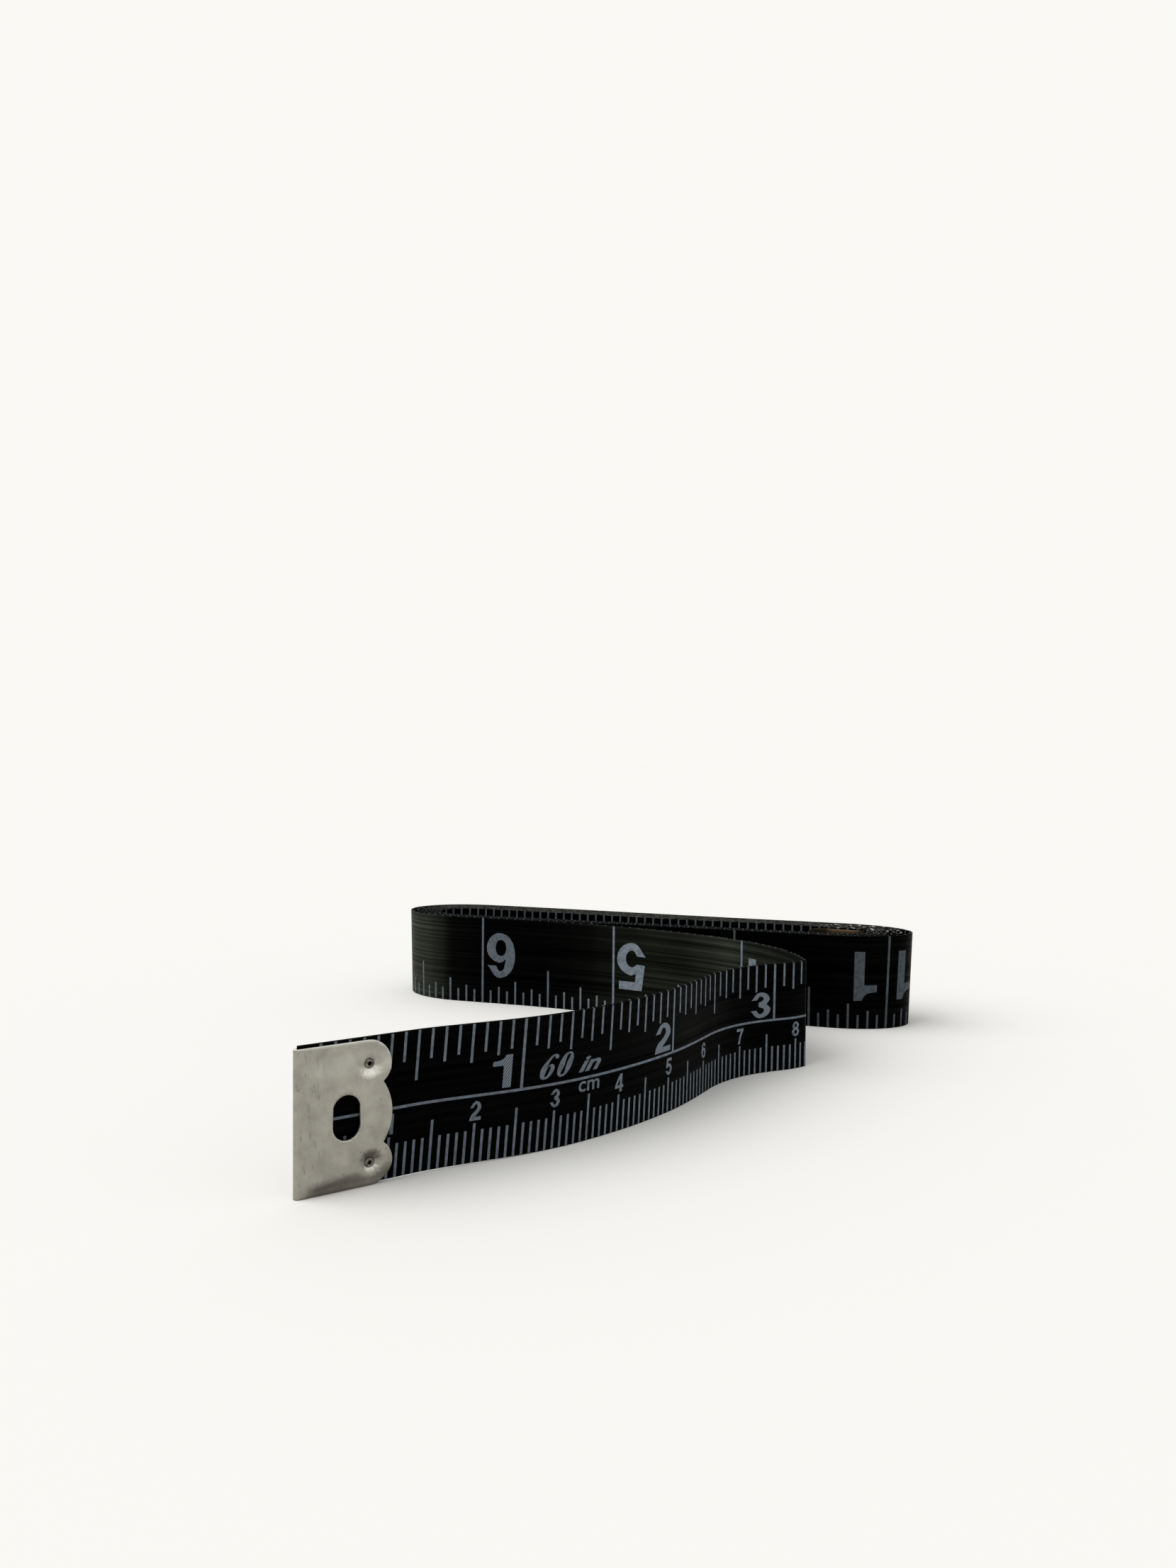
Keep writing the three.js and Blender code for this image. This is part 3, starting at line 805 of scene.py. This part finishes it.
def makeBackPrint():
    p, t = backSet, tapeSet
    bm = bmesh.new()
    turn = faceTurns["back"] @ Matrix.Translation((p["ahead"], 0, 0))
    top, low = t["width"] - t["edgeRound"], t["edgeRound"]
    figures = figureSet(figureLoops, p["figureHeight"], p["stretch"], p["strip"], p["fineness"])
    ticks = strokeMesh([(i * inch / 16, top - p["ticks"][math.gcd(i, 16)], top, p["tickWidth"])
                        for i in range(1, 16)] + [(inch, low, top, p["lineWidth"])])
    advance = advanceOf(p["figureHeight"], p["stretch"])
    for number in range(1, t["inches"] + 1):
        stampMark(bm, ticks, turn @ Matrix.Translation(((number - 1) * inch, 0, 0)))
        tens, units = divmod(number, 10)       # two figures stand on either side of their line
        before = number * inch - p["lineWidth"] / 2 - p["figureStep"]
        after = number * inch + p["lineWidth"] / 2 + advance
        places = [(tens, before), (units, after)] if tens else [(units, before)]
        for figure, right in places:
            stampNumber(bm, figures, figure, p, right, p["figureFoot"], turn)
    return finishPrint("backPrint", bm, lambda x: p["lean"], inkGrey)


inchPrint = makeInchPrint()
metricPrint = makeMetricPrint()
backPrint = makeBackPrint()
print("print", [len(p.data.polygons) for p in (inchPrint, metricPrint, backPrint)], "faces")


plateSet = {
    "dark": "#918e85",
    "light": "#a7a49a",
    "stain": "#6d6c61",
    "under": "#57514b",
    "paintedHighlight": "#e6e5dd",
}


# Nickel-plated brass sheet, blanked and rolled: warm grey satin, with a painted highlight where it faces up
# and painted shade where it turns under, and marked by short dark scratches by the fold
def platedSheet():
    p = plateSet
    material, tree, skin = startMaterial("nickelPlatedSheet")
    spot = addNode(tree, "ShaderNodeUVMap", uv_map="tipMap")                 # mm from the fold, and up
    place = addNode(tree, "ShaderNodeSeparateXYZ", {0: spot.outputs[0]})
    clouds = addNode(tree, "ShaderNodeTexNoise", {"Vector": spot.outputs[0]},
                     {"Scale": 0.45, "Detail": 4, "Roughness": 0.55})        # about 2 mm clouds
    tone = addRamp(tree, clouds.outputs["Fac"], (0.3, p["dark"]), (0.66, p["light"]))
    drawn = addNode(tree, "ShaderNodeMapping", {"Vector": spot.outputs[0]}, {"Scale": (2.4, 0.5, 1)})
    scratches = addNode(tree, "ShaderNodeTexNoise", {"Vector": drawn.outputs[0]},
                        {"Scale": 1, "Detail": 5, "Roughness": 0.7})         # about 0.4 mm wide
    byFold = addRange(tree, place.outputs["X"], (1, 5), (1, 0), interpolation_type="SMOOTHSTEP")
    worn = addRange(tree, scratches.outputs["Fac"], (0.55, 0.66), (0.08, 0.75))
    stain = addNode(tree, "ShaderNodeMath", {0: byFold, 1: worn}, operation="MULTIPLY")
    tone = addTone(tree, stain.outputs[0], tone, p["stain"])
    grains = addNode(tree, "ShaderNodeTexNoise", {"Vector": spot.outputs[0]},
                     {"Scale": 1.7, "Detail": 2, "Roughness": 0.4})          # specks under 0.5 mm
    specks = addRange(tree, grains.outputs["Fac"], (0.7, 0.76), (0, 0.6))
    tone = addTone(tree, specks, tone, p["stain"])
    # painted shade where the plate faces down, painted highlight where it faces up
    facing = addNode(tree, "ShaderNodeNewGeometry")
    tilt = addNode(tree, "ShaderNodeSeparateXYZ", {0: facing.outputs["Normal"]})
    under = addRange(tree, tilt.outputs["Z"], (-0.03, -0.34), (0, 0.85))
    tone = addTone(tree, under, tone, p["under"])
    highlightShare = addRange(tree, tilt.outputs["Z"], (0.1, 0.4))
    tone = addTone(tree, highlightShare, tone, p["paintedHighlight"])
    gloss = addRange(tree, clouds.outputs["Fac"], (0.3, 0.65), (0.46, 0.36))
    dents = addNode(tree, "ShaderNodeBump", {"Height": scratches.outputs["Fac"]},
                    {"Strength": 0.15, "Distance": 0.00002})
    tree.links.new(tone, skin.inputs["Base Color"])
    tree.links.new(gloss, skin.inputs["Roughness"])
    tree.links.new(dents.outputs["Normal"], skin.inputs["Normal"])
    skin.inputs["Metallic"].default_value = 0.85
    return material


rearGlintSet = {
    "middle": 3.5,            # from the fold to the middle of the painted glint
    "reach": (1.8, 3.2),
    "glintBrown": "#5f4e39",
    "dark": "#241d16",
}


# The same plate, dark brown, with a painted warm brown glint in its middle
def tarnishedSheet():
    p = rearGlintSet
    material, tree, skin = startMaterial("tarnishedSheet")
    spot = addNode(tree, "ShaderNodeUVMap", uv_map="tipMap")
    place = addNode(tree, "ShaderNodeSeparateXYZ", {0: spot.outputs[0]})
    # painted glint: brightest at the middle, fading to the dark tone towards both ends
    away = addNode(tree, "ShaderNodeMath", {0: place.outputs["X"]}, {1: p["middle"]}, operation="SUBTRACT")
    spread = addNode(tree, "ShaderNodeMath", {0: away.outputs[0]}, operation="ABSOLUTE")
    fromGlint = addRange(tree, spread.outputs[0], p["reach"])
    tone = addRamp(tree, fromGlint, (0, p["glintBrown"]), (1, p["dark"]))
    tree.links.new(tone, skin.inputs["Base Color"])
    skin.inputs["Metallic"].default_value = 0.85
    skin.inputs["Roughness"].default_value = 0.42
    return material


# Rolled steel eyelet, bright on its crown and dark in its bore
def rivetSteel():
    material, tree, skin = startMaterial("rolledSteelEyelet")
    spot = addNode(tree, "ShaderNodeTexCoord")
    wear = addNode(tree, "ShaderNodeTexNoise", {"Vector": spot.outputs["Object"]},
                   {"Scale": 2500, "Detail": 3, "Roughness": 0.6})           # about 0.4 mm marks
    tone = addRamp(tree, wear.outputs["Fac"], (0.35, "#45423e"), (0.65, "#827e76"))
    tree.links.new(tone, skin.inputs["Base Color"])
    skin.inputs["Metallic"].default_value = 0.95
    skin.inputs["Roughness"].default_value = 0.34
    return material


tipSet = {
    "sheet": 0.3,
    "inner": 0.2,             # from the tape's middle to the sheet
    "height": 15.25,
    "lobeRadius": 2.45,
    "lobeSteps": 12,
    "middleSteps": 14,
    "notchDepth": 1,
    "windowSetback": 5.35,
    "windowWidth": 3,
    "windowHeight": 4.7,
    "windowSteps": 24,
    "holeRadius": 0.47,
    "holeSteps": 20,
    "edgeRound": 0.07,
    "edgeSteps": 2,
    "edgeAngle": 1,           # radians: sharper edges are rounded
    "frontBulge": 0.42,       # how far the plates stand off the tape between their edges
    "rearBulge": 0.1,
    "lipReach": (1.2, 0.13),  # height over which the lower edge turns in: at the fold, and more per mm
    "topReach": 4.5,
    "foldReach": 2,
    "foldSteps": 8,
    "dishReach": 1,           # dish drawn in round each rivet
    "dishPower": 4,
    "grid": 0.45,
    "weld": 1e-4,
    "sharp": 38,
}
rivetSet = {"bore": 0.17, "shank": 0.4, "head": 0.54, "rise": 0.2, "headSteps": 8, "steps": 28, "sharp": 50}
tipOuter = tipSet["inner"] + tipSet["sheet"]
foldRadius = tipSet["inner"] + tipSet["sheet"] / 2
halfArc = math.pi / 2 * foldRadius
blankShift = halfArc - tipOuter                # from a place along the plate to one on the flat blank
rivetSetback = tapeSet["tipLength"] - tipSet["lobeRadius"]
rivetPlaces = [tipSet["lobeRadius"], tipSet["height"] - tipSet["lobeRadius"]]


# The flat blank, cut finely enough to be folded
def drawBlank():
    p, t = tipSet, tapeSet
    tall = p["height"]
    notch = math.acos(1 - p["notchDepth"] / p["lobeRadius"])
    halfMiddle = tall / 2 - p["lobeRadius"] * (1 + math.sin(notch))
    midLobe = (halfMiddle ** 2 + p["notchDepth"] ** 2) / (2 * p["notchDepth"])
    midAngle = math.asin(halfMiddle / midLobe)
    bm = bmesh.new()
    corner = bm.verts.new((0, 0, 0))
    turnPoint = bmesh.ops.extrude_vert_indiv(bm, verts=[corner])["verts"]
    bmesh.ops.translate(bm, vec=(rivetSetback + blankShift, 0, 0), verts=turnPoint)
    arcs = [
        (rivetSetback, p["lobeRadius"], math.pi / 2 + notch, p["lobeSteps"]),
        (t["tipLength"] - midLobe, tall / 2, 2 * midAngle, p["middleSteps"]),
        (rivetSetback, tall - p["lobeRadius"], math.pi / 2 + notch, p["lobeSteps"]),
    ]
    for x, z, angle, steps in arcs:
        made = bmesh.ops.spin(bm, geom=turnPoint, cent=(x + blankShift, 0, z), axis=(0, -1, 0), angle=angle,
                              steps=steps)
        turnPoint = onlyVerts(made["geom_last"])
    farCorner = bmesh.ops.extrude_vert_indiv(bm, verts=turnPoint)["verts"][0]
    farCorner.co = (0, 0, tall)
    bm.edges.new((farCorner, corner))
    laid = Matrix.Rotation(math.pi / 2, 4, "X")
    window = bmesh.ops.create_circle(bm, segments=p["windowSteps"], radius=p["windowWidth"] / 2,
                                     matrix=laid)
    stretch = (p["windowHeight"] - p["windowWidth"]) / 2
    for v in window["verts"]:
        v.co.z += stretch if v.co.z > 0 else -stretch
    bmesh.ops.translate(bm, vec=(p["windowSetback"] + blankShift, 0, tall / 2), verts=window["verts"])
    for z in rivetPlaces:
        hole = bmesh.ops.create_circle(bm, segments=p["holeSteps"], radius=p["holeRadius"], matrix=laid)
        bmesh.ops.translate(bm, vec=(rivetSetback + blankShift, 0, z), verts=hole["verts"])
    bmesh.ops.triangle_fill(bm, edges=bm.edges[:], use_beauty=True)
    bmesh.ops.mirror(bm, geom=allParts(bm), axis="X", merge_dist=p["weld"])
    bmesh.ops.recalc_face_normals(bm, faces=bm.faces)
    made = bmesh.ops.extrude_face_region(bm, geom=bm.faces[:], use_keep_orig=True)["geom"]
    bmesh.ops.translate(bm, vec=(0, p["sheet"], 0), verts=onlyVerts(made))
    bmesh.ops.recalc_face_normals(bm, faces=bm.faces)
    rim = [e for e in bm.edges if e.calc_face_angle(0) > p["edgeAngle"]]
    bmesh.ops.bevel(bm, geom=rim, offset=p["edgeRound"], offset_type="OFFSET", segments=p["edgeSteps"],
                    profile=0.5, affect="EDGES", material=-1)
    reach = t["tipLength"] + blankShift
    folds = p["foldSteps"]
    cuts = [((i * p["grid"] - reach, 0, 0), (1, 0, 0)) for i in range(1, int(2 * reach / p["grid"]) + 1)]
    cuts += [((halfArc * i / folds, 0, 0), (1, 0, 0)) for i in range(-folds, folds + 1)]
    cuts += [((0, 0, i * p["grid"]), (0, 0, 1)) for i in range(1, int(tall / p["grid"]) + 1)]
    for place, way in cuts:
        bmesh.ops.bisect_plane(bm, geom=allParts(bm), plane_co=place, plane_no=way, dist=p["weld"])
    tipMap = bm.loops.layers.uv.new("tipMap")
    for face in bm.faces:
        for loop in face.loops:
            loop[tipMap].uv = (abs(loop.vert.co.x) - blankShift, loop.vert.co.z)
    return bm


# Folds the blank round the end of the tape; bulge is how far its plates stand off between their edges
def foldBlank(bm, bulge):
    p = tipSet
    lipFoot, lipRise = p["lipReach"]
    for v in bm.verts:
        u, z = abs(v.co.x), v.co.z
        lift = bulge * ease(z / (lipFoot + lipRise * u)) * ease((p["height"] - z) / p["topReach"])
        lift *= ease((u - halfArc) / p["foldReach"])
        for height in rivetPlaces:
            away = math.hypot(u - rivetSetback - blankShift, z - height) / p["dishReach"]
            lift *= 1 - math.exp(-away ** p["dishPower"])
        radius = p["inner"] + v.co.y + lift
        side = -1 if v.co.x > 0 else 1
        if u <= halfArc:
            angle = u / foldRadius
            v.co = (tipOuter - radius * math.cos(angle), side * radius * math.sin(angle), z)
        else:
            v.co = (tipOuter + u - halfArc, side * radius, z)
    bmesh.ops.recalc_face_normals(bm, faces=bm.faces)


def makeTip(name, fold, along, bulge, metal):
    bm = drawBlank()
    foldBlank(bm, bulge)
    way = (along - fold).normalized()
    place = Matrix(((way.x, -way.y, 0, fold.x), (way.y, way.x, 0, fold.y), (0, 0, 1, 0), (0, 0, 0, 1)))
    bmesh.ops.transform(bm, matrix=place, verts=bm.verts)
    tip = finishPiece(name, bm, metal, sharp=tipSet["sharp"])
    rivets = []
    for end, z in zip(("Lower", "Upper"), rivetPlaces):
        seat = place @ Matrix.Translation((rivetSetback, 0, z))
        rivets.append(makeRivet(name.replace("tip", "rivet") + end, seat))
    return tip, rivets


def makeRivet(name, place):
    p, seat = rivetSet, tipOuter
    bm = bmesh.new()
    middle = (p["bore"] + p["head"]) / 2
    halfWide = (p["head"] - p["bore"]) / 2
    start = bm.verts.new((p["bore"], 0, 0))
    point = bmesh.ops.extrude_vert_indiv(bm, verts=[start])["verts"]
    bmesh.ops.translate(bm, vec=(0, seat, 0), verts=point)
    made = bmesh.ops.spin(bm, geom=point, cent=(middle, seat, 0), axis=(0, 0, -1), angle=math.pi,
                          steps=p["headSteps"])
    point = onlyVerts(made["geom_last"])
    for v in bm.verts:
        if v.co.y > seat:
            v.co.y = seat + (v.co.y - seat) * p["rise"] / halfWide
    for x, y in ((p["shank"], seat), (p["shank"], 0)):
        point = bmesh.ops.extrude_vert_indiv(bm, verts=point)["verts"]
        point[0].co = (x, y, 0)
    bmesh.ops.mirror(bm, geom=bm.verts[:] + bm.edges[:], axis="Y", merge_dist=weld)
    bmesh.ops.spin(bm, geom=bm.verts[:] + bm.edges[:], cent=(0, 0, 0), axis=(0, 1, 0), angle=2 * math.pi,
                   steps=p["steps"], use_merge=True)
    bmesh.ops.remove_doubles(bm, verts=bm.verts, dist=weld)
    bmesh.ops.recalc_face_normals(bm, faces=bm.faces)
    bmesh.ops.transform(bm, matrix=place, verts=bm.verts)
    return finishPiece(name, bm, eyelet, sharp=p["sharp"])


nickel, rearGlintMetal, eyelet = platedSheet(), tarnishedSheet(), rivetSteel()
tipFront, rivetsFront = makeTip("tipFront", tapeLine[0], tapeLine[1], tipSet["frontBulge"], nickel)
tipRear, rivetsRear = makeTip("tipRear", tapeLine[-1], tapeLine[-2], tipSet["rearBulge"], rearGlintMetal)
print("tips", len(tipFront.data.polygons), "faces each, rivets", len(rivetsFront[0].data.polygons))


studioSet = {
    "floor": "#f9f8f4",
    "floorHalf": 6,           # metres
    "backdrop": "#faf9f5",
    "ambient": 0.64,
    "key": 1.55,
    "keyFrom": (-80, 42),     # degrees: right of the camera's line, and from upright
    "keySoft": 60,
}

# Matt paper sweep, white and even
floorMesh = bpy.data.meshes.new("floor")
bm = bmesh.new()
bmesh.ops.create_grid(bm, x_segments=1, y_segments=1, size=studioSet["floorHalf"])
bm.to_mesh(floorMesh)
bm.free()
floor = bpy.data.objects.new("floor", floorMesh)
scene.collection.objects.link(floor)
paper, _, paperSkin = startMaterial("mattPaper")
paperSkin.inputs["Base Color"].default_value = linearColour(studioSet["floor"])
paperSkin.inputs["Roughness"].default_value = 1
paperSkin.inputs["Specular IOR Level"].default_value = 0
floorMesh.materials.append(paper)

world = bpy.data.worlds.new("studio")
scene.world = world
world.use_nodes = True
sky = world.node_tree
ambient = sky.nodes["Background"]
ambient.inputs["Color"].default_value = (1, 1, 1, 1)
ambient.inputs["Strength"].default_value = studioSet["ambient"]
backdrop = addNode(sky, "ShaderNodeBackground", None,
                   {"Color": linearColour(studioSet["backdrop"]), "Strength": 1})
rays = addNode(sky, "ShaderNodeLightPath")
seen = addNode(sky, "ShaderNodeMath",
               {0: rays.outputs["Is Camera Ray"], 1: rays.outputs["Is Glossy Ray"]}, operation="MAXIMUM")
seenAll = addNode(sky, "ShaderNodeMath",
                  {0: seen.outputs[0], 1: rays.outputs["Is Transmission Ray"]}, operation="MAXIMUM")
mixed = addNode(sky, "ShaderNodeMixShader",
                {0: seenAll.outputs[0], 1: ambient.outputs[0], 2: backdrop.outputs[0]})
sky.links.new(mixed.outputs[0], sky.nodes["World Output"].inputs["Surface"])

keyData = bpy.data.lights.new("key", "SUN")
keyData.energy = studioSet["key"]
keyData.angle = math.radians(studioSet["keySoft"])
key = bpy.data.objects.new("key", keyData)
turnKey, tiltKey = (math.radians(a) for a in studioSet["keyFrom"])
key.rotation_euler = (tiltKey, 0, math.radians(cameraSet["turn"]) + turnKey)
scene.collection.objects.link(key)
scene.view_settings.view_transform = "Standard"
print("floor and light set")


for piece in (tape, inchPrint, metricPrint, backPrint):
    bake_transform(piece)
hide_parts("tape_lead", "tape_return", "tape_hank")
tipEnds = ((tipFront, rivetsFront, "lead", "front"), (tipRear, rivetsRear, "hank", "rear"))
for tip, rivets, body, end in tipEnds:
    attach(tip, body)
    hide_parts("tip_" + end)
    for rivet, place in zip(rivets, ("lower", "upper")):
        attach(rivet, body)
        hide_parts(f"rivet_{end}_{place}")
print("pieces ride")
